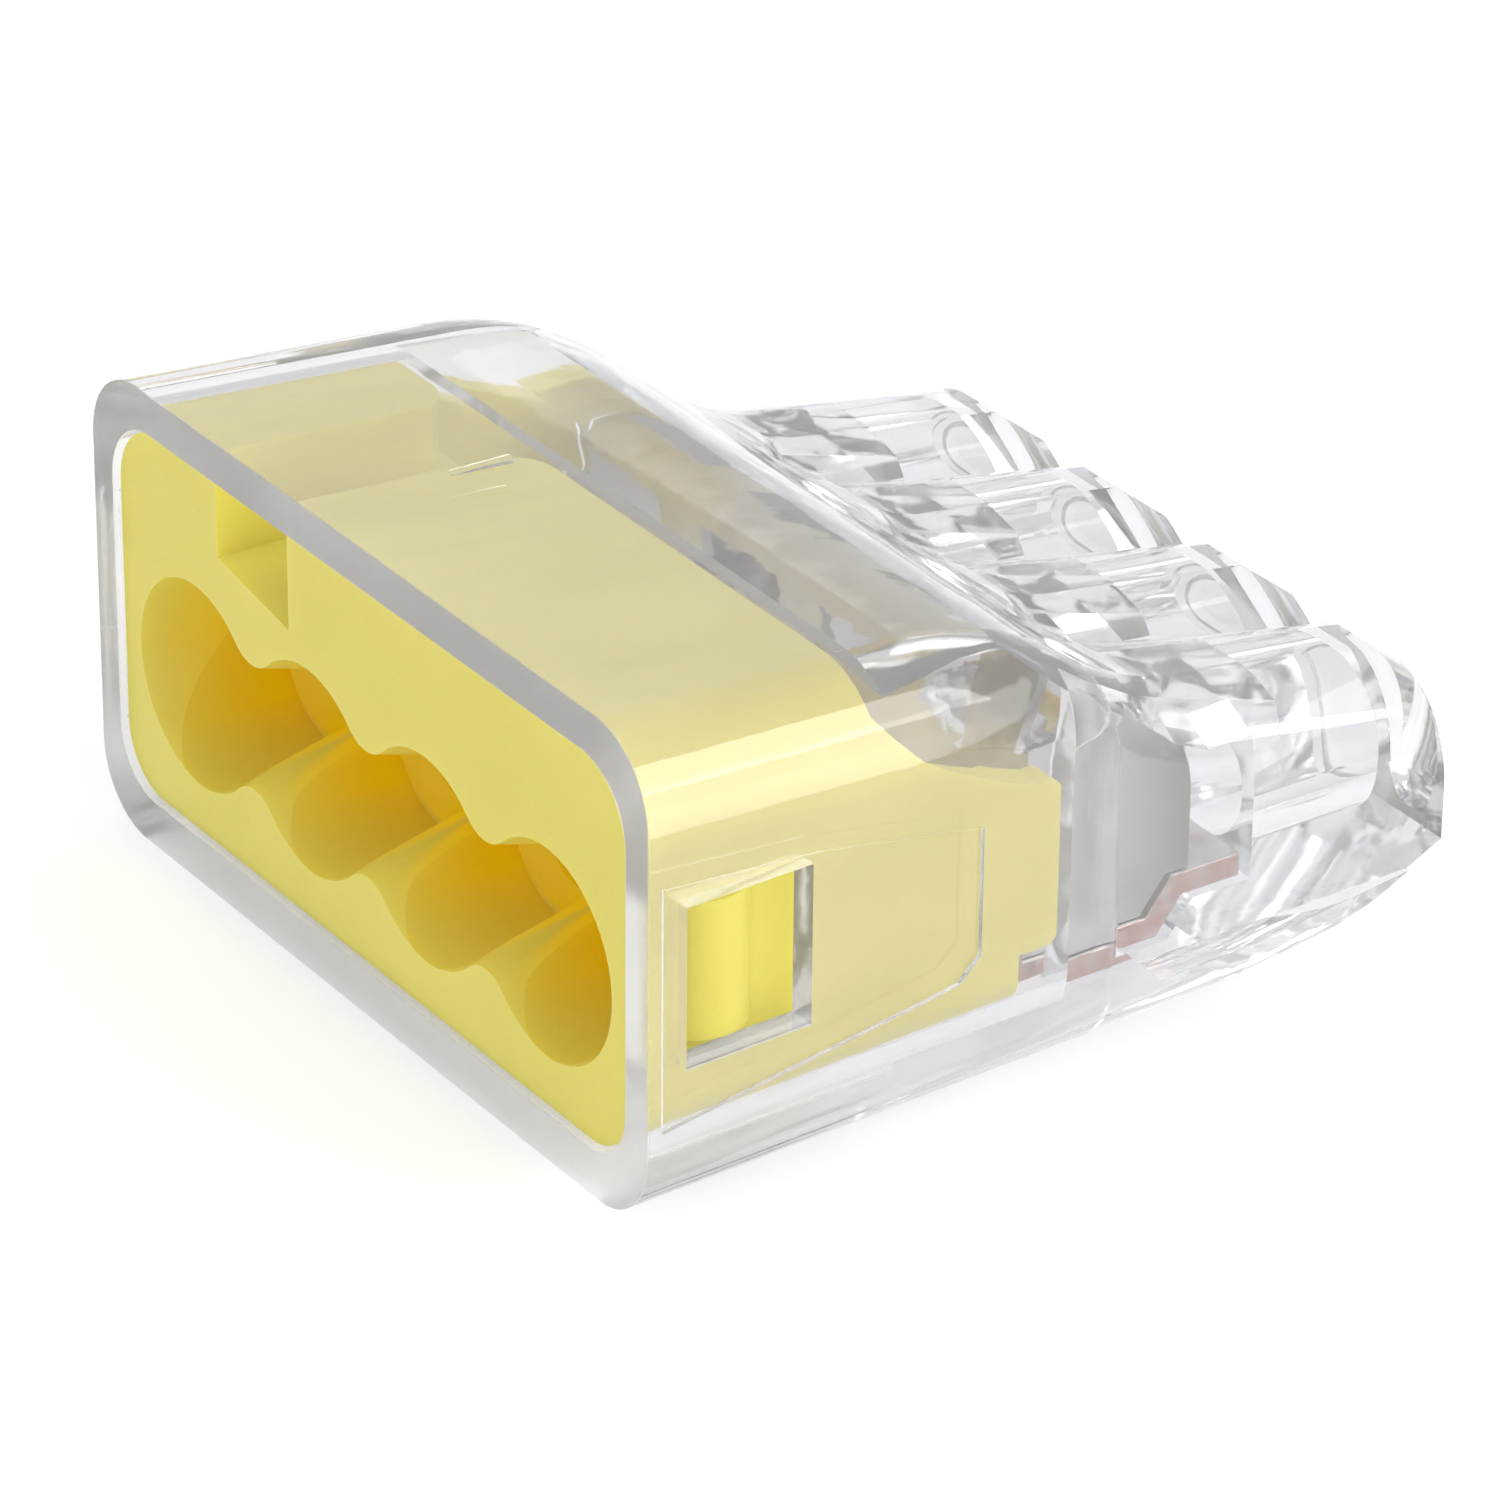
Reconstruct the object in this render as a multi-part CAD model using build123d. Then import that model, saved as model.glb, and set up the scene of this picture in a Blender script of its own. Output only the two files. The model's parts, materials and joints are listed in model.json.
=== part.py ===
from build123d import *
import math
import os

# Push-in wire connector for four conductors.
# X runs across the ports, +Y is the way a wire is pushed in, +Z is up.
# The origin is the middle of the footprint, on the face that the connector rests on.

# ---- driving dimensions, millimetres ----
port_pitch = 4.2
port_count = 4
overall_length = 20.2
front_width = 19.8
front_height = 10.1
axis_height = 4.3          # port centre line above the resting face
front_y = -overall_length / 2
fit_gap = 0.06             # gap all round between two pieces that fit together
overcut = 0.5              # how far a cutter or a joined block runs past the face that it meets
same_place = 0.01          # two positions this close are the same one

# clear housing, outside
side_draft = 0.04          # inward lean of each side wall, mm per mm of depth
roof_fall = 0.062          # how gently the roof falls before it sweeps down, mm per mm of depth
roof_front_length = 6.8
sweep_middle = 10.9        # a point half way down the sweep
sweep_middle_height = 8.0
shoulder_length = 11.25    # where the wide front section ends
sweep_end = 14.0           # where the sweep has become the ribbed rear roof
sweep_end_height = 6.33
rib_fall = 0.165           # how steeply the ribbed roof falls to the rear
rear_half_width = 8.65
rear_draft = 0.02
rear_face = 19.7           # plane that the end domes stand on
rear_bevel = 0.65
tail_top_height = 5.0      # top of the rear face
tail_bevel_start = 16.0    # underside bevel, from here to the rear face
tail_bevel_height = 1.75
tail_bend_round = 4.0
side_zone = 7.4            # edges farther out than this belong to a side
floor_zone = 1.0           # edges wholly below this belong to the underside
top_corner_round = 1.7
low_corner_round = 1.6
shoulder_round = 0.55
base_height = 1.35         # wide base that carries on behind the shoulder
base_inset = 0.03          # how far the base stands inside the line of the front section's sides
base_corner_round = 1.65
base_taper_start = 14.5    # from here the base narrows to the rear section
gusset_size = 0.9          # slope between the shoulder and the base

# clear housing, inside
rim_side = 0.72
rim_top = 0.86
rim_floor = 0.98
insert_stop = 5.95         # depth where the insert's tall block stops
cage_roof = 4.3            # cavity roof above the port axis, behind the block
cage_roof_end = 8.8        # where that roof starts to slope down
cage_slope = [(12.4, 1.95), (13.2, 1.25), (14.0, 0.9)]
cage_half = 8.02
cage_rear_gap = 0.18       # behind the bar
finger_room_roof = [(10.0, 3.3), (11.0, 3.0), (12.5, 2.2), (16.0, 1.0)]
finger_room_floor = -1.0
finger_room_gap = 0.2      # on each side of a finger
cheek_room_gap = 0.25      # behind each cheek of the insert
pocket_radius = 1.36
pocket_start = 12.0
pocket_end = 18.3
wire_axis_drop = 0.45      # the bare conductor runs this much below the port centre

# snap windows in the side walls
window_front = 0.95
window_rear = 3.8
window_low = -1.1
window_high = 2.3

# shallow panel round each window: (depth, height from the port centre line)
panel_outline = [
    (0.35, -2.2),
    (6.5, -1.45),
    (7.2, -1.35),
    (7.7, -0.9),
    (7.7, 1.85),
    (4.0, 2.55),
    (0.35, 2.9),
]
panel_sink = 0.1

# yellow wire entry insert
face_recess = 0.15
mouth_radius = 2.21
mouth_lobe_round = 0.86
mouth_depth = 3.2
mouth_taper = 15
sleeve_radius = 1.78
sleeve_depth = 3.2
throat_radius = 1.25
throat_length = 2.0
block_depth = 5.6
block_corner_round = 0.9
cheek_end = 9.8
cheek_end_top = 2.05
cheek_end_low = -1.5
cheek_inside = 8.04        # inner face of each cheek, from the middle of the part
cheek_low = -2.5
cheek_low_end = 8.9        # how far back the cheek's lower part runs
cheek_top_start = 4.6      # height of the hollowed top edge where it leaves the block
cheek_top_middle = (7.1, 3.05)
cheek_end_round = 0.5
notch_left = -5.4
notch_right = -2.75
notch_floor = 3.2
probe_drop = 0.45
probe_depth = 1.7
barb_round = 1.05
barb_depth = 2.0
barb_rise = 0.42
barb_end_gap = 0.25        # above and below the barb, inside the window
insert_top_round = 1.5
insert_low_round = 1.3

# ribs, domes and gate mark of the housing
groove_half_width = 1.95
groove_start = 11.4        # where the valley leaves the sweep
groove_start_height = 7.63
groove_full = 13.2         # from here the groove is groove_sink deep, and more towards the rear
groove_sink = 0.45
groove_last = 19.9
groove_last_sink = 0.85
groove_bow = 0.62          # how far each side of a valley bows up, as a share of its depth
groove_clear = 0.12        # cutter height above the roof
dome_half_width = 1.6
dome_top = 0.35
dome_floor = -2.3
dome_corner = 1.25
dome_edge_round = 0.4
gate_x = -1.9
gate_depth = 4.0
gate_length = 1.4
gate_width = 0.22
gate_rise = 0.06

# metal
bar_thickness = 0.5
bar_half_width = 7.9
bar_top = -2.3
bar_step_top = -1.55
bar_lip_front = 9.3
bar_lip_thickness = 0.35
bar_lip_top = -1.75
bar_lip_round = 0.45
bar_step_start = 12.9      # underside of the step up
bar_step_run = 0.6         # length of the slope in that step
bar_step_lead = 0.25       # how much nearer the front the same slope is on top
bar_end = 14.9
spring_thickness = 0.25
frame_half_width = 7.8
frame_front = 9.7
frame_rear = 13.7
frame_window_half = 1.35
frame_rail_drop = 0.35     # top of the front plate, below the bend centres
frame_foot_gap = 0.02      # under the plates, above the bar
end_plate_front_top = 2.2
end_plate_rear_top = 1.2
end_plate_round = 1.2
end_plate_clear = 0.1      # between an end plate and the step in the bar
bend_inner_round = 0.35
bend_height = 2.45
finger_width = 1.9
finger_slope = 52.0        # degrees below level at rest
finger_length = 5.13
finger_tip_bevel = 0.2
hinge_gap = 0.03

port_x = [(index - (port_count - 1) / 2) * port_pitch for index in range(port_count)]
valley_x = [(left + right) / 2 for left, right in zip(port_x, port_x[1:])]


def depth(value):
    """Y of a depth measured back from the front rim."""
    return front_y + value


def level(value):
    """Z of a height measured from the port centre line."""
    return axis_height + value


def across(y):
    """Plane square to the ports at y, with its own axes along +X and +Z."""
    return Plane(origin=(0, y, 0), x_dir=(1, 0, 0), z_dir=(0, -1, 0))


def cage_floor():
    """Height of the cavity floor under the bar, from the port centre line."""
    return bar_top - bar_thickness - fit_gap


def side_face(outline):
    """Face with an outline of (depth, height) points, on a plane whose X is the model's Y."""
    points = [(depth(along), level(up)) for along, up in outline]
    return make_face(Polyline(*points, close=True))


def side_slab(outline, half_width):
    """Solid with an outline of (depth, height) points, spread evenly to both sides of the middle."""
    return extrude(Plane.YZ * side_face(outline), half_width, both=True)


def near(value, target):
    """True if two positions are the same place."""
    return abs(value - target) < same_place


def block(x_range, y_range, z_range):
    """Axis-aligned box given by its limits."""
    size = [high - low for low, high in (x_range, y_range, z_range)]
    middle = [(high + low) / 2 for low, high in (x_range, y_range, z_range)]
    return Pos(*middle) * Box(*size)


def rounded_section(y, half_width, low, high, low_round, high_round):
    """Rounded rectangle square to the ports."""
    middle = (low + high) / 2
    outline = Pos(0, middle) * Rectangle(2 * half_width, high - low)
    outline = fillet(outline.vertices().group_by(Axis.Y)[0], low_round)
    top_corners = outline.vertices().group_by(Axis.Y)[-1]
    outline = fillet(top_corners, high_round)
    return across(y) * outline


def roof_height(distance):
    """Height of the front roof above the resting face, before the sweep."""
    return front_height - roof_fall * distance


def side_profile(corners):
    """Face in the YZ plane: the roof's sweep down, closed by straight runs through the corners."""
    sweep_start = (depth(roof_front_length), roof_height(roof_front_length))
    sweep_way = (depth(sweep_middle), sweep_middle_height)
    sweep_stop = (depth(sweep_end), sweep_end_height)
    sweep = Spline(sweep_start, sweep_way, sweep_stop, tangents=[(1, -roof_fall), (1, -rib_fall)])
    corners = [sweep_stop] + corners + [sweep_start]
    runs = [Line(first, second) for first, second in zip(corners, corners[1:])]
    return Plane.YZ * make_face(runs + [sweep])


def leaning_plan(start, end, half_at_start, half_at_end):
    """Tall block whose two sides lean in evenly between two depths."""
    outline = Polyline(
        (-half_at_start, depth(start)),
        (half_at_start, depth(start)),
        (half_at_end, depth(end)),
        (-half_at_end, depth(end)),
        close=True,
    )
    return extrude(make_face(outline), front_height)


def long_edges(solid, at_top):
    """Edges that run front to rear along the two sides, at the top or at the bottom."""
    found = []
    for edge in solid.edges():
        run = edge.position_at(1) - edge.position_at(0)
        at_side = abs(edge.center().X) > side_zone
        is_low = edge.bounding_box().max.Z < floor_zone
        if abs(run.Y) > same_place and at_side and is_low != at_top:
            found.append(edge)
    return found


def housing_front():
    """Wide front section: nearly level roof, then the sweep down, with both sides leaning in."""
    face = side_profile([(depth(sweep_end), 0), (depth(0), 0), (depth(0), front_height)])
    body = extrude(face, front_width, both=True)
    half = front_width / 2
    body = body & leaning_plan(0, shoulder_length, half, half - side_draft * shoulder_length)
    body = fillet(long_edges(body, True), top_corner_round)
    body = fillet(long_edges(body, False), low_corner_round)
    shoulder = [
        edge
        for edge in body.edges()
        if near(edge.center().Y, depth(shoulder_length)) and abs(edge.center().X) > rear_half_width
    ]
    return fillet(shoulder, shoulder_round)


def housing_rear():
    """Narrower rear section under the ribbed roof, with a bevelled tail, on top of the base."""
    tail_start = rear_face - rear_bevel
    tail_ridge = sweep_end_height - rib_fall * (tail_start - sweep_end)
    face = side_profile(
        [
            (depth(tail_start), tail_ridge),
            (depth(rear_face), tail_top_height),
            (depth(rear_face), base_height - overcut),
            (depth(roof_front_length), base_height - overcut),
        ],
    )
    body = extrude(face, front_width, both=True)
    half_at_rear = rear_half_width - rear_draft * (rear_face - shoulder_length)
    body = body & leaning_plan(roof_front_length, rear_face, rear_half_width, half_at_rear)
    return fillet(long_edges(body, True), top_corner_round)


def housing_base():
    """Wide base behind the shoulder that narrows to the rear section, with a slope up to the shoulder."""
    start = shoulder_length - 2 * overcut
    half_at_start = front_width / 2 - base_inset - side_draft * start
    half_at_taper = front_width / 2 - base_inset - side_draft * base_taper_start
    half_at_rear = rear_half_width - rear_draft * (rear_face - shoulder_length)
    outline = Polyline(
        (-half_at_start, depth(start)),
        (half_at_start, depth(start)),
        (half_at_taper, depth(base_taper_start)),
        (half_at_rear, depth(rear_face)),
        (-half_at_rear, depth(rear_face)),
        (-half_at_taper, depth(base_taper_start)),
        close=True,
    )
    base = extrude(make_face(outline), front_height)
    base = fillet(long_edges(base, False), base_corner_round)
    profile = Polyline(
        (depth(0), 0),
        (depth(overall_length), 0),
        (depth(overall_length), base_height),
        (depth(shoulder_length + gusset_size), base_height),
        (depth(shoulder_length), base_height + gusset_size),
        (depth(0), base_height + gusset_size),
        close=True,
    )
    return base & extrude(Plane.YZ * make_face(profile), front_width, both=True)


def underside_bevel():
    """Wedge taken off the underside at the rear, with a rounded start."""
    slope = tail_bevel_height / (rear_face - tail_bevel_start)
    reach = 2 * (rear_face - tail_bevel_start)
    lead = depth(tail_bevel_start) - tail_bend_round
    wedge = Polyline(
        (lead, 0),
        (depth(tail_bevel_start), 0),
        (depth(tail_bevel_start) + reach, reach * slope),
        (depth(tail_bevel_start) + reach, -tail_bend_round),
        (lead, -tail_bend_round),
        close=True,
    )
    face = make_face(wedge)
    bend = face.vertices().sort_by_distance((depth(tail_bevel_start), 0))[0]
    face = fillet(bend, tail_bend_round)
    return extrude(Plane.YZ * face, front_width, both=True)


def groove_section(distance, valley_height, rise):
    """Cusp that points down: two arcs that meet in the valley, closed by a level line above the roof."""
    valley = (0, valley_height)
    bow_height = valley_height + rise * groove_bow
    left_top = (-groove_half_width, valley_height + rise)
    right_top = (groove_half_width, valley_height + rise)
    edges = [
        ThreePointArc(left_top, (-groove_half_width / 2, bow_height), valley),
        ThreePointArc(valley, (groove_half_width / 2, bow_height), right_top),
        Line(right_top, left_top),
    ]
    return across(depth(distance)) * make_face(edges)


def rib_groove(x):
    """Valley between two ribs, fading in on the sweep and deepening to the rear."""
    sections = [groove_section(groove_start, groove_start_height, groove_sink + groove_clear)]
    for distance, sink in ((groove_full, groove_sink), (groove_last, groove_last_sink)):
        ridge = sweep_end_height - rib_fall * (distance - sweep_end)
        sections.append(groove_section(distance, ridge - sink, sink + groove_clear))
    return Pos(x, 0, 0) * loft(sections, ruled=True)


def end_dome(x):
    """Small rounded cap that closes each conductor tube at the rear."""
    length = overall_length - rear_face + overcut
    middle = (dome_top + dome_floor) / 2
    shape = RectangleRounded(2 * dome_half_width, dome_top - dome_floor, dome_corner)
    outline = across(depth(overall_length)) * Pos(x, level(middle)) * shape
    cap = extrude(outline, length)
    rear_edges = cap.edges().group_by(Axis.Y)[-1]
    return fillet(rear_edges, dome_edge_round)


def cage_cavity():
    """Room for the metal cage, under the sweep of the roof, and for the insert's cheeks beside it."""
    front = insert_stop - overcut
    shelf = bar_step_top - bar_thickness - fit_gap
    outline = [
        (front, cage_floor()),
        (bar_step_start + cage_rear_gap, cage_floor()),
        (bar_step_start + bar_step_run + cage_rear_gap, shelf),
        (bar_end + cage_rear_gap, shelf),
        (bar_end + cage_rear_gap, cage_slope[-1][1]),
        *reversed(cage_slope),
        (cage_roof_end, cage_roof),
        (front, cage_roof),
    ]
    cheek_room = leaning_block(front, cheek_end + cheek_room_gap, 0)
    return side_slab(outline, cage_half) + (cheek_room & side_slab(outline, front_width))


def finger_room(x):
    """Room under a rib for one finger to swing in."""
    floor = [(finger_room_roof[-1][0], finger_room_floor), (finger_room_roof[0][0], finger_room_floor)]
    return Pos(x, 0, 0) * side_slab(finger_room_roof + floor, finger_width / 2 + finger_room_gap)


def clear_housing():
    """One clear moulding: open at the front, closed behind, with a pocket for each bare conductor."""
    body = housing_front() + (housing_rear() + housing_base() - underside_bevel())
    for x in valley_x:
        body = body - rib_groove(x)
    for x in port_x:
        body = body + end_dome(x)
    body = body - leaning_block(-overcut, insert_stop, 0) - cage_cavity()
    for x in port_x:
        body = body - finger_room(x) - wire_pocket(x)
    for side in (-1, 1):
        body = body - snap_window(side) - side_panel(side)
    gate = Box(gate_width, gate_length, 2 * gate_rise)
    gate = Pos(gate_x, depth(gate_depth), roof_height(gate_depth)) * gate
    return body + gate


def leaning_block(start, end, gap):
    """Round-cornered block that fills the open front less a gap, and follows the walls and the roof."""
    half = front_width / 2 - rim_side - gap
    sections = []
    for distance in (start, end):
        sections.append(
            rounded_section(
                depth(distance),
                half - side_draft * distance,
                rim_floor + gap,
                roof_height(distance) - rim_top - gap,
                insert_low_round,
                insert_top_round,
            )
        )
    return loft(sections)


def wire_pocket(x):
    """Blind round pocket that the bare end of a wire runs into."""
    on_base = (Align.CENTER, Align.CENTER, Align.MIN)
    shape = Cylinder(pocket_radius, pocket_end - pocket_start, align=on_base)
    return Pos(x, depth(pocket_start), level(-wire_axis_drop)) * Rot(-90, 0, 0) * shape


def snap_window(side):
    """Square opening through a side wall."""
    outer = front_width / 2 + overcut
    inner = front_width / 2 - rim_side - overcut
    return block(
        sorted((side * inner, side * outer)),
        (depth(window_front), depth(window_rear)),
        (level(window_low), level(window_high)),
    )


def side_panel(side):
    """Shallow recess in the outside of a side wall, narrowing to the rear."""
    cutter = extrude(Plane.YZ * side_face(panel_outline), rim_side)
    lean = math.degrees(math.atan(side_draft))
    corner = Pos(front_width / 2 - panel_sink, front_y, 0)
    placed = corner * Rot(0, 0, lean) * Pos(0, -front_y, 0) * cutter
    return on_side(placed, side)


def on_side(solid, side):
    """A solid made for the +X side, or its mirror image."""
    if side > 0:
        return solid
    return mirror(solid, Plane.YZ)


def mouth_outline():
    """Outline of the four merged wire mouths, with the points between them rounded off."""
    merged = Sketch()
    for x in port_x:
        merged += Pos(x, axis_height) * Circle(mouth_radius)
    points = [vertex for vertex in merged.vertices() if not near(vertex.Y, axis_height)]
    return fillet(points, mouth_lobe_round)


def wire_entry_insert():
    """Yellow moulding that guides four wires in and latches in the side windows."""
    body = leaning_block(face_recess, block_depth, fit_gap)
    for side in (-1, 1):
        body = body + insert_cheek(side) + latch_barb(side)
    body = body - probe_channel()
    channel_corners = [
        edge
        for edge in body.edges().filter_by(Axis.Z)
        if near(edge.center().Y, depth(block_depth))
        and (near(edge.center().X, notch_left) or near(edge.center().X, notch_right))
    ]
    body = fillet(channel_corners, block_corner_round)
    outline = across(depth(face_recess)) * mouth_outline()
    body = body - extrude(outline, -mouth_depth, taper=mouth_taper)
    for x in port_x:
        body = body - wire_way(x)
    return body


def insert_cheek(side):
    """Cheek that runs back from the block's rounded side, with a hollowed top edge and round corners."""
    front = block_depth - overcut
    top_start = (depth(front), level(cheek_top_start))
    top_middle = (depth(cheek_top_middle[0]), level(cheek_top_middle[1]))
    top_end = (depth(cheek_end - cheek_end_round), level(cheek_end_top))
    corner_top = (depth(cheek_end), level(cheek_end_top))
    corner_low = (depth(cheek_end), level(cheek_end_low))
    corners = [
        top_end,
        corner_top,
        corner_low,
        (depth(cheek_low_end), level(cheek_end_low)),
        (depth(cheek_low_end), level(cheek_low)),
        (depth(front), level(cheek_low)),
        top_start,
    ]
    runs = [Line(first, second) for first, second in zip(corners, corners[1:])]
    face = make_face(runs + [Spline(top_start, top_middle, top_end)])
    for corner in (corner_top, corner_low):
        face = fillet(face.vertices().sort_by_distance(corner)[0], cheek_end_round / 2)
    slab = Pos(cheek_inside, 0, 0) * extrude(Plane.YZ * face, front_width)
    return on_side(slab & leaning_block(front, cheek_end, fit_gap), side)


def latch_barb(side):
    """Half-round upright rib that springs out into the window."""
    wall = front_width / 2 - rim_side - fit_gap - side_draft * barb_depth
    height = window_high - window_low - 2 * barb_end_gap
    centre = wall + barb_rise - barb_round
    middle = level((window_low + window_high) / 2)
    return Pos(side * centre, depth(barb_depth), middle) * Cylinder(barb_round, height)


def probe_channel():
    """Open channel for a test probe along the top of the insert, with a lower hollow at its mouth."""
    channel = block(
        (notch_left, notch_right),
        (depth(-overcut), depth(block_depth + overcut)),
        (level(notch_floor), front_height),
    )
    wedge = Polyline(
        (notch_left, level(notch_floor)),
        (notch_right, level(notch_floor)),
        (notch_right, level(notch_floor - probe_drop)),
        close=True,
    )
    hollow = extrude(across(depth(probe_depth)) * make_face(wedge), probe_depth + overcut)
    return channel + hollow


def wire_way(x):
    """Way through the insert for one wire: sleeve for its insulation, cone, throat for the bare end."""
    throat_start = block_depth - throat_length
    outline = Polyline(
        (0, 0),
        (sleeve_radius, 0),
        (sleeve_radius, sleeve_depth),
        (throat_radius, throat_start),
        (throat_radius, block_depth + overcut),
        (0, block_depth + overcut),
        close=True,
    )
    bored = revolve(make_face(outline), Axis.Y)
    return Pos(x, front_y, level(-wire_axis_drop)) * bored


def busbar():
    """Tinned copper strip: front lip, low flat, a step up and the contact flat under the spring tips."""
    low = bar_top - bar_thickness
    top = bar_step_top
    face = side_face(
        [
            (bar_lip_front, low),
            (bar_step_start, low),
            (bar_step_start + bar_step_run, top - bar_thickness),
            (bar_end, top - bar_thickness),
            (bar_end, top),
            (bar_step_start + bar_step_run - bar_step_lead, top),
            (bar_step_start - bar_step_lead, bar_top),
            (bar_lip_front + bar_lip_thickness, bar_top),
            (bar_lip_front + bar_lip_thickness, bar_lip_top),
            (bar_lip_front, bar_lip_top),
        ]
    )
    outer_corner = face.vertices().sort_by_distance((depth(bar_lip_front), level(low)))[0]
    face = fillet(outer_corner, bar_lip_round)
    return extrude(Plane.YZ * face, bar_half_width, both=True)


def bend_centre():
    """Centre of the spring's top bends, as (y, z)."""
    return depth(frame_front) + spring_thickness + bend_inner_round, level(bend_height)


def hinge_point():
    """Where each finger leaves its bend: the line that the finger flexes about, as (y, z)."""
    centre_y, centre_z = bend_centre()
    middle_round = bend_inner_round + spring_thickness / 2
    angle = math.radians(90 - finger_slope)
    return centre_y + middle_round * math.cos(angle), centre_z + middle_round * math.sin(angle)


def spring_frame():
    """Fixed part of the stainless clamp: front plate with four windows, end plates and four top bends."""
    plate_low = level(bar_top + frame_foot_gap)
    plate_y = (depth(frame_front), depth(frame_front) + spring_thickness)
    rail_top = level(bend_height - frame_rail_drop)
    plate = block((-frame_half_width, frame_half_width), plate_y, (plate_low, rail_top))
    for x in port_x:
        plate = plate - block(
            (x - frame_window_half, x + frame_window_half),
            (depth(frame_front - overcut), depth(frame_front + overcut)),
            (level(-wire_axis_drop - frame_window_half), level(-wire_axis_drop + frame_window_half)),
        )
        plate = plate + block(
            (x - finger_width / 2, x + finger_width / 2),
            plate_y,
            (rail_top, level(bend_height)),
        )
        plate = plate + top_bend(x)
    for side in (-1, 1):
        plate = plate + end_plate(side)
    return plate


def top_bend(x):
    """Strip bent over the top, from the front plate to just short of the finger."""
    centre_y, centre_z = bend_centre()
    gap_angle = math.degrees((spring_thickness / 2 + hinge_gap) / bend_inner_round)
    stop = 90 - finger_slope + gap_angle
    half_way = (180 + stop) / 2
    inner = bend_inner_round
    outer = bend_inner_round + spring_thickness

    def at(radius, degrees):
        angle = math.radians(degrees)
        return centre_y + radius * math.cos(angle), centre_z + radius * math.sin(angle)

    edges = [
        ThreePointArc(at(outer, 180), at(outer, half_way), at(outer, stop)),
        Line(at(outer, stop), at(inner, stop)),
        ThreePointArc(at(inner, stop), at(inner, half_way), at(inner, 180)),
        Line(at(inner, 180), at(outer, 180)),
    ]
    strip = extrude(Plane.YZ * make_face(edges), finger_width / 2, both=True)
    return Pos(x, 0, 0) * strip


def end_plate(side):
    """Plate bent back at each end of the cage, with its top rear corner rounded."""
    foot = bar_top + frame_foot_gap
    step_foot = bar_step_top + frame_foot_gap
    step_start = bar_step_start - bar_step_lead - end_plate_clear
    face = side_face(
        [
            (frame_front, foot),
            (step_start, foot),
            (step_start + bar_step_run, step_foot),
            (frame_rear, step_foot),
            (frame_rear, end_plate_rear_top),
            (frame_front, end_plate_front_top),
        ]
    )
    corner = face.vertices().sort_by_distance((depth(frame_rear), level(end_plate_rear_top)))[0]
    face = fillet(corner, end_plate_round)
    plate = Pos(frame_half_width - spring_thickness, 0, 0) * extrude(Plane.YZ * face, spring_thickness)
    return on_side(plate, side)


def spring_finger(x):
    """One stainless leaf, sloping down and back to the bar, with a rounded root and a chamfered tip."""
    root_y, root_z = hinge_point()
    half = spring_thickness / 2
    leaf = Polyline(
        (0, -half),
        (finger_length - finger_tip_bevel, -half),
        (finger_length, half),
        (0, half),
        close=True,
    )
    face = make_face(leaf) + Circle(half)
    strip = extrude(Plane.YZ * face, finger_width / 2, both=True)
    return Pos(x, root_y, root_z) * Rot(-finger_slope, 0, 0) * strip


parts = {
    "clear_housing": clear_housing(),
    "wire_entry_insert": wire_entry_insert(),
    "busbar": busbar(),
    "spring_frame": spring_frame(),
}
for number, x in enumerate(port_x, start=1):
    parts[f"spring_finger_{number}"] = spring_finger(x)

os.makedirs("parts", exist_ok=True)
for name, solid in parts.items():
    export_step(solid, f"parts/{name}.step")
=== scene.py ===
import json
import math

import bpy
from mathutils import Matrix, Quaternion, Vector


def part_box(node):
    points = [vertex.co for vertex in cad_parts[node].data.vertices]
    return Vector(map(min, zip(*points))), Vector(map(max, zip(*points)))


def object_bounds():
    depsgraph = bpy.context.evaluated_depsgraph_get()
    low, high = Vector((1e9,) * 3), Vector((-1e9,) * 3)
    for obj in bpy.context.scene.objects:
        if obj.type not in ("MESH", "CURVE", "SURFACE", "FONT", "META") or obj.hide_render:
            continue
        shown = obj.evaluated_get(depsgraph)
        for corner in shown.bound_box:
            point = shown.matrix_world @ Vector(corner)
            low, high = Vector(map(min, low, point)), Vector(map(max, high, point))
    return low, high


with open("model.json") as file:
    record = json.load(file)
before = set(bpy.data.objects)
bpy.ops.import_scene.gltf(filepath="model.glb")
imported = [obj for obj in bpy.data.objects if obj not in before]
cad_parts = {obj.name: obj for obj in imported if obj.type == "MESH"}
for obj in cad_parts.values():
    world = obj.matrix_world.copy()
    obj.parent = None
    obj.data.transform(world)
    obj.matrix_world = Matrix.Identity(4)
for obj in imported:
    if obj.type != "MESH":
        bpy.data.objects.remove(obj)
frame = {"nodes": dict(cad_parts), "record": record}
cad_low, cad_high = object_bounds()
nodes = frame["nodes"]
size = cad_high - cad_low
middle = (cad_low + cad_high) / 2

MM = 0.001
PER_MM = 1000.0            # texture scale that gives one cell per millimetre

MOUTH_RISE = 0.45 * MM     # the mouths are centred this much above the throats
MOUTH_RADIUS = 2.1 * MM
MOUTH_DEPTH = 2.6 * MM
MOUTH_END = 5.15 * MM      # the painted amber light stops short of the moulding's rear face
EDGE_FADE = 0.15 * MM
METAL_EDGE = 0.04 * MM     # rounding of the metal's cut edges
BEND_DARK_REACH = 1.0 * MM      # how far down from the top the bends are darker
RIM_MATT = 0.02 * MM       # how far back the matt finish of the rim's front face reaches

# ---- colours, as linear red, green and blue -----------------------------------------------

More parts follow.
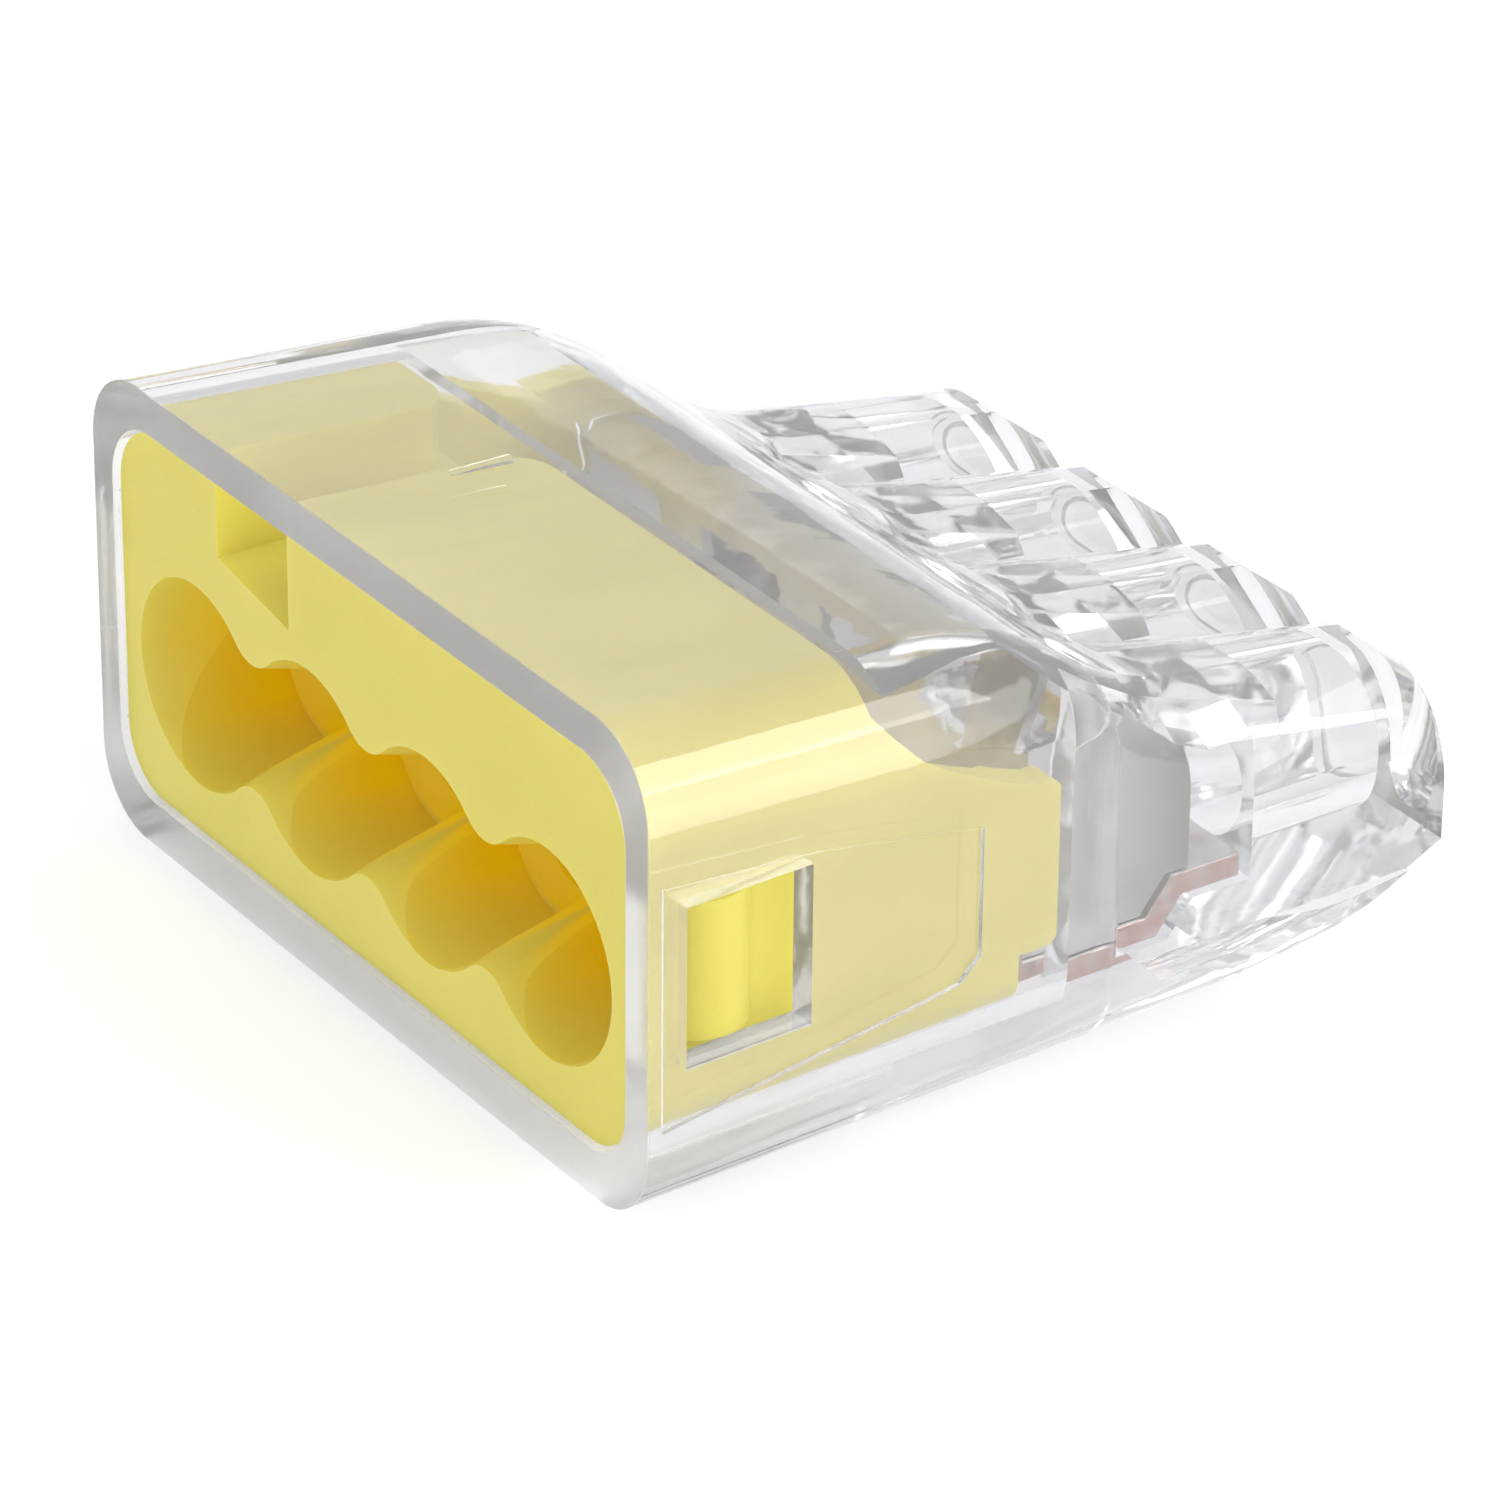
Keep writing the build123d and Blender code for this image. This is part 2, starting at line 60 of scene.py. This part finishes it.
CLEAR_DEEP = (0.87, 0.87, 0.88, 1)
CLEAR_LIGHT = (0.92, 0.92, 0.93, 1)
CLEAR_SHADOW = (0.96, 0.96, 0.97, 1)
YELLOW_DEEP = (0.71, 0.62, 0.10, 1)
YELLOW_LIGHT = (0.75, 0.66, 0.12, 1)
YELLOW_GRAIN = (0.80, 0.72, 0.18, 1)
YELLOW_SCATTER = (1.0, 0.75, 0.18)
# painted light: the deep amber painted inside the wire mouths
PAINTED_MOUTH_AMBER = (1.0, 0.74, 0.002, 1)
STEEL_BRIGHT = (0.80, 0.79, 0.78, 1)
STEEL_DULL = (0.66, 0.65, 0.63, 1)
# darker steel colour for the top bends and towards the rear of the end plates
STEEL_DARK_TONE = (0.26, 0.24, 0.20, 1)
TIN_BRIGHT = (0.78, 0.77, 0.75, 1)
TIN_DULL = (0.50, 0.47, 0.44, 1)
COPPER = (0.46, 0.25, 0.19, 1)
CARD_DEEP = (0.72, 0.72, 0.73, 1)
CARD_LIGHT = (0.74, 0.74, 0.745, 1)
CARD_GLOW = (0.97, 0.975, 1.0, 1)
ROOM = (0.96, 0.965, 0.98, 1)

# ---- camera -------------------------------------------------------------------------------

CAMERA_AZIMUTH = math.radians(55.49)
CAMERA_ELEVATION = math.radians(28.30)
CAMERA_ROLL = math.radians(0.55)
CAMERA_DISTANCE = 7.363 * size.y
CAMERA_AIM = Vector((middle.x, cad_low.y + 0.4456 * size.y, cad_low.z + 0.3045 * size.z))
CAMERA_LENS = 181.1


def direction(azimuth, elevation):
    """Unit vector from the object towards a viewer. Azimuth 0 is in front of the mouths."""
    level = math.cos(elevation)
    return Vector((math.sin(azimuth) * level, -math.cos(azimuth) * level, math.sin(elevation)))


def add_camera():
    """Long lens in front of the right side wall, looking down a little."""
    back = direction(CAMERA_AZIMUTH, CAMERA_ELEVATION)
    data = bpy.data.cameras.new("camera")
    data.lens = CAMERA_LENS
    data.sensor_width = 36
    data.clip_start = 0.01
    data.clip_end = 20
    camera = bpy.data.objects.new("camera", data)
    bpy.context.scene.collection.objects.link(camera)
    camera.location = CAMERA_AIM + back * CAMERA_DISTANCE
    camera.rotation_mode = "QUATERNION"
    turn = (-back).to_track_quat("-Z", "Y")
    camera.rotation_quaternion = turn @ Quaternion((0, 0, 1), CAMERA_ROLL)
    bpy.context.scene.camera = camera


# ---- studio -------------------------------------------------------------------------------

ROOM_STRENGTH = 0.76
FLOOR_WIDTH = 3

def add_softbox(name, azimuth, elevation, distance, width, power):
    """Square area light that faces the object: degrees, metres and watts."""
    data = bpy.data.lights.new(name, "AREA")
    data.shape = "SQUARE"
    data.size = width
    data.energy = power
    light = bpy.data.objects.new(name, data)
    bpy.context.scene.collection.objects.link(light)
    back = direction(math.radians(azimuth), math.radians(elevation))
    light.location = middle + back * distance
    light.rotation_mode = "QUATERNION"
    light.rotation_quaternion = (-back).to_track_quat("-Z", "Y")


def add_studio():
    """Bright pale room, an overhead softbox and three side ones."""
    world = bpy.data.worlds.new("studio")
    bpy.context.scene.world = world
    world.use_nodes = True
    background = world.node_tree.nodes["Background"]
    background.inputs["Color"].default_value = ROOM
    background.inputs["Strength"].default_value = ROOM_STRENGTH
    add_softbox("overhead", 10, 78, 0.45, 0.30, 0.25)
    add_softbox("right_rear", 128, 30, 0.40, 0.20, 0.50)
    add_softbox("right", 88, 18, 0.45, 0.25, 0.20)
    add_softbox("left", -95, 25, 0.45, 0.25, 0.32)


def add_floor():
    """Wide pale floor that the connector rests on."""
    place = (middle.x, middle.y, cad_low.z)
    bpy.ops.mesh.primitive_plane_add(size=FLOOR_WIDTH, location=place)
    floor = bpy.context.object
    floor.name = "floor"
    floor.data.materials.append(floor_paper())


# ---- materials ----------------------------------------------------------------------------


def node(tree, kind, inputs=None, **settings):
    """Adds a node. An input is a value, or another node's output to link."""
    made = tree.nodes.new(kind)
    for name, value in settings.items():
        setattr(made, name, value)
    for name, value in (inputs or {}).items():
        socket = made.inputs[name]
        if isinstance(value, bpy.types.NodeSocket):
            tree.links.new(value, socket)
        else:
            socket.default_value = value
    return made


def blank(name):
    """Empty node material, its tree and its output."""
    material = bpy.data.materials.new(name)
    material.use_nodes = True
    tree = material.node_tree
    tree.nodes.clear()
    return material, tree, node(tree, "ShaderNodeOutputMaterial")


def stretched(tree, scale):
    """Object coordinates, stretched per axis, so that grain can run one way."""
    place = node(tree, "ShaderNodeTexCoord").outputs["Object"]
    return node(tree, "ShaderNodeMapping", {"Vector": place, "Scale": scale}).outputs["Vector"]


def noise(tree, place, cell, detail=3.0, roughness=0.5, distortion=0.0):
    """Noise whose cells are cell millimetres across."""
    made = node(
        tree,
        "ShaderNodeTexNoise",
        {
            "Vector": place,
            "Scale": PER_MM / cell,
            "Detail": detail,
            "Roughness": roughness,
            "Distortion": distortion,
        },
    )
    return made.outputs["Fac"]


def ramp(tree, factor, low, high, out_low=0.0, out_high=1.0):
    """Maps a factor from one range to another, clamped."""
    made = node(
        tree,
        "ShaderNodeMapRange",
        {"Value": factor, "From Min": low, "From Max": high, "To Min": out_low, "To Max": out_high},
    )
    return made.outputs["Result"]


def blend(tree, factor, first, second):
    """Colour that goes from first to second."""
    made = tree.nodes.new("ShaderNodeMix")
    made.data_type = "RGBA"
    factor_in, first_in, second_in = made.inputs[0], made.inputs[6], made.inputs[7]
    for socket, value in ((factor_in, factor), (first_in, first), (second_in, second)):
        if isinstance(value, bpy.types.NodeSocket):
            tree.links.new(value, socket)
        else:
            socket.default_value = value
    return made.outputs[2]


def bump(tree, height, depth, strength, after=None):
    """Normal from a height field that is depth millimetres deep."""
    inputs = {"Height": height, "Distance": depth * MM, "Strength": strength}
    if after:
        inputs["Normal"] = after
    return node(tree, "ShaderNodeBump", inputs).outputs["Normal"]


def math_node(tree, operation, *values):
    """One arithmetic step."""
    inputs = dict(enumerate(values))
    return node(tree, "ShaderNodeMath", inputs, operation=operation).outputs[0]


def clear_plastic():
    """Polished clear polycarbonate with slow flow waves, a few fine scuffs and a matt front rim."""
    material, tree, output = blank("clear_polycarbonate")
    flow = noise(tree, stretched(tree, (1, 0.35, 1)), 2.2, detail=2, distortion=0.6)
    scuffs = noise(tree, stretched(tree, (1, 0.2, 2)), 0.35, detail=6, roughness=0.6)
    normal = bump(tree, flow, 0.08, 0.2)
    normal = bump(tree, scuffs, 0.004, 0.3, normal)
    tint = blend(tree, ramp(tree, flow, 0.35, 0.65), CLEAR_DEEP, CLEAR_LIGHT)
    place = node(tree, "ShaderNodeTexCoord").outputs["Object"]
    along = node(tree, "ShaderNodeSeparateXYZ", {0: place}).outputs["Y"]
    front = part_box("clear_housing")[0].y
    rim = ramp(tree, along, front + RIM_MATT, front + 2 * RIM_MATT, 0.55, 0.0)
    polish = ramp(tree, scuffs, 0.45, 0.75, 0.015, 0.09)
    clear = node(
        tree,
        "ShaderNodeBsdfPrincipled",
        {
            "Base Color": tint,
            "Roughness": math_node(tree, "MAXIMUM", polish, rim),
            "IOR": 1.58,
            "Transmission Weight": 0.91,
            "Normal": normal,
        },
    )
    lamps = node(tree, "ShaderNodeBsdfTransparent", {"Color": CLEAR_SHADOW})
    shadow = node(tree, "ShaderNodeLightPath").outputs["Is Shadow Ray"]
    mixed = node(tree, "ShaderNodeMixShader", {0: shadow, 1: clear.outputs[0], 2: lamps.outputs[0]})
    tree.links.new(mixed.outputs[0], output.inputs["Surface"])
    return material


def painted_amber_mask(tree):
    """Goes from 0 at the front face to 1 deep inside a wire mouth: the mask of the painted amber light
    in the mouths.
    """
    ports = [mount["pos_m"] for mount in frame["record"]["mounts"] if mount["kind"] == "bore"]
    pitch = ports[1][0] - ports[0][0]
    centre_z = ports[0][2] + MOUTH_RISE
    place = node(tree, "ShaderNodeTexCoord").outputs["Object"]
    parts = node(tree, "ShaderNodeSeparateXYZ", {0: place}).outputs
    across = math_node(tree, "SUBTRACT", parts["X"], ports[0][0])
    across = math_node(tree, "WRAP", across, pitch / 2, -pitch / 2)
    up = math_node(tree, "SUBTRACT", parts["Z"], centre_z)
    squares = [math_node(tree, "POWER", value, 2) for value in (across, up)]
    radius = math_node(tree, "SQRT", math_node(tree, "ADD", *squares))
    within = ramp(tree, radius, MOUTH_RADIUS + EDGE_FADE, MOUTH_RADIUS)
    row_end = ports[-1][0] + pitch / 2
    from_middle = math_node(tree, "ABSOLUTE", parts["X"])
    within = math_node(tree, "MULTIPLY", within, ramp(tree, from_middle, row_end + EDGE_FADE, row_end))
    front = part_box("wire_entry_insert")[0].y
    deep = ramp(tree, parts["Y"], front, front + MOUTH_DEPTH)
    ahead = ramp(tree, parts["Y"], front + MOUTH_END + EDGE_FADE, front + MOUTH_END)
    return math_node(tree, "MULTIPLY", within, math_node(tree, "MULTIPLY", deep, ahead))


def yellow_plastic():
    """Semi-gloss yellow moulding, slightly translucent, with a fine spark-eroded grain.

    The mouths are painted deep amber: painted light standing in for light that has gone through the
    moulding into a mouth.
    """
    material, tree, output = blank("yellow_moulding")
    even = stretched(tree, (1, 1, 1))
    clouds = noise(tree, even, 3.5, detail=2)
    grain = noise(tree, even, 0.09, detail=4, roughness=0.65)
    colour = blend(tree, ramp(tree, clouds, 0.3, 0.7), YELLOW_DEEP, YELLOW_LIGHT)
    colour = blend(tree, ramp(tree, grain, 0.3, 0.7, 0.0, 0.25), colour, YELLOW_GRAIN)
    # painted light: the mouths get deep amber, standing in for light scattered through the moulding
    colour = blend(tree, painted_amber_mask(tree), colour, PAINTED_MOUTH_AMBER)
    yellow = node(
        tree,
        "ShaderNodeBsdfPrincipled",
        {
            "Base Color": colour,
            "Roughness": ramp(tree, grain, 0.25, 0.75, 0.26, 0.44),
            "IOR": 1.5,
            "Specular IOR Level": 0.3,
            "Subsurface Weight": 0.3,
            "Subsurface Radius": YELLOW_SCATTER,
            "Subsurface Scale": 0.8 * MM,
            "Normal": bump(tree, grain, 0.012, 0.35),
        },
    )
    tree.links.new(yellow.outputs[0], output.inputs["Surface"])
    return material


def sideways(tree):
    """How much a surface faces either end of the row of ports, from 0 to 1."""
    facing = node(tree, "ShaderNodeTexCoord").outputs["Normal"]
    return math_node(tree, "ABSOLUTE", node(tree, "ShaderNodeSeparateXYZ", {0: facing}).outputs["X"])


def rolled_metal(name, along, bright, dull, rough_low, rough_high):
    """Metal strip with rolling lines that run one way, and a cloudy tarnish."""
    material, tree, output = blank(name)
    lines = noise(tree, stretched(tree, along), 0.12, detail=5, roughness=0.7)
    clouds = noise(tree, stretched(tree, (1, 1, 1)), 1.1, detail=4, distortion=0.4)
    colour = blend(tree, ramp(tree, clouds, 0.35, 0.7), bright, dull)
    shader = node(
        tree,
        "ShaderNodeBsdfPrincipled",
        {
            "Metallic": 1.0,
            "Roughness": ramp(tree, lines, 0.25, 0.75, rough_low, rough_high),
            "Normal": bump(tree, lines, 0.004, 0.4),
        },
    )
    tree.links.new(shader.outputs[0], output.inputs["Surface"])
    return material, tree, shader, colour


def spring_steel():
    """Bright rolled stainless strip, darker at its bends and towards the rear of its end plates."""
    material, tree, shader, colour = rolled_metal(
        "rolled_stainless", (0.08, 1, 1), STEEL_BRIGHT, STEEL_DULL, 0.30, 0.50
    )
    place = node(tree, "ShaderNodeTexCoord").outputs["Object"]
    parts = node(tree, "ShaderNodeSeparateXYZ", {0: place}).outputs
    frame_low, frame_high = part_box("spring_frame")
    bends = ramp(tree, parts["Z"], frame_high.z - BEND_DARK_REACH, frame_high.z - BEND_DARK_REACH / 2)
    plates = ramp(tree, parts["Y"], (frame_low.y + frame_high.y) / 2, frame_high.y, 0.25, 1.0)
    plates = math_node(tree, "MULTIPLY", plates, ramp(tree, sideways(tree), 0.6, 0.9))
    # the top bends and the rear of the side-facing end plates are given a darker colour
    colour = blend(tree, math_node(tree, "MAXIMUM", bends, plates), colour, STEEL_DARK_TONE)
    tree.links.new(colour, shader.inputs["Base Color"])
    return material


def tinned_copper():
    """Tin over copper: the blanked edges and worn patches show the copper."""
    material, tree, shader, tin = rolled_metal(
        "tinned_copper", (0.1, 1, 1), TIN_BRIGHT, TIN_DULL, 0.12, 0.28
    )
    wear = noise(tree, stretched(tree, (1, 1, 1)), 0.5, detail=6, roughness=0.7)
    edge = ramp(tree, sideways(tree), 0.6, 0.9)
    edge = math_node(tree, "MULTIPLY", edge, ramp(tree, wear, 0.38, 0.56, 0.5, 1.0))
    worn = ramp(tree, wear, 0.52, 0.70, 0.0, 0.8)
    shows = math_node(tree, "MAXIMUM", edge, worn)
    colour = blend(tree, shows, tin, COPPER)
    tree.links.new(colour, shader.inputs["Base Color"])
    return material


def floor_paper():
    """Pale matt card on a light table, which keeps the contact shadow soft."""
    material, tree, output = blank("pale_card")
    fibre = noise(tree, stretched(tree, (1, 1, 1)), 0.5, detail=4)
    colour = blend(tree, ramp(tree, fibre, 0.3, 0.7), CARD_DEEP, CARD_LIGHT)
    card = node(
        tree,
        "ShaderNodeBsdfPrincipled",
        {
            "Base Color": colour,
            "Roughness": 0.9,
            "Emission Color": CARD_GLOW,
            "Emission Strength": 0.38,
        },
    )
    tree.links.new(card.outputs[0], output.inputs["Surface"])
    return material


# ---- pieces -------------------------------------------------------------------------------


def dress(name, material):
    """Gives a CAD node its material."""
    piece = nodes[name]
    piece.data.materials.clear()
    piece.data.materials.append(material)


def soften(name, width):
    """Small rounded corners along a node's sharp edges, to catch the light."""
    piece = nodes[name]
    weld = piece.modifiers.new("weld", "WELD")
    weld.merge_threshold = 0.001 * MM
    bevel = piece.modifiers.new("edges", "BEVEL")
    bevel.width = width
    bevel.segments = 2
    bevel.limit_method = "ANGLE"
    bevel.angle_limit = math.radians(35)
    bevel.harden_normals = True


add_camera()
add_studio()
add_floor()

steel = spring_steel()
fingers = [name for name in nodes if name.startswith("spring_finger")]
dress("clear_housing", clear_plastic())
dress("wire_entry_insert", yellow_plastic())
dress("busbar", tinned_copper())
dress("spring_frame", steel)
for name in fingers:
    dress(name, steel)
for name in ["busbar", "spring_frame"] + fingers:
    soften(name, METAL_EDGE)

scene = bpy.context.scene
scene.view_settings.view_transform = "Standard"
scene.cycles.max_bounces = 24
scene.cycles.transmission_bounces = 20
scene.cycles.transparent_max_bounces = 24
scene.cycles.diffuse_bounces = 6
scene.cycles.glossy_bounces = 6
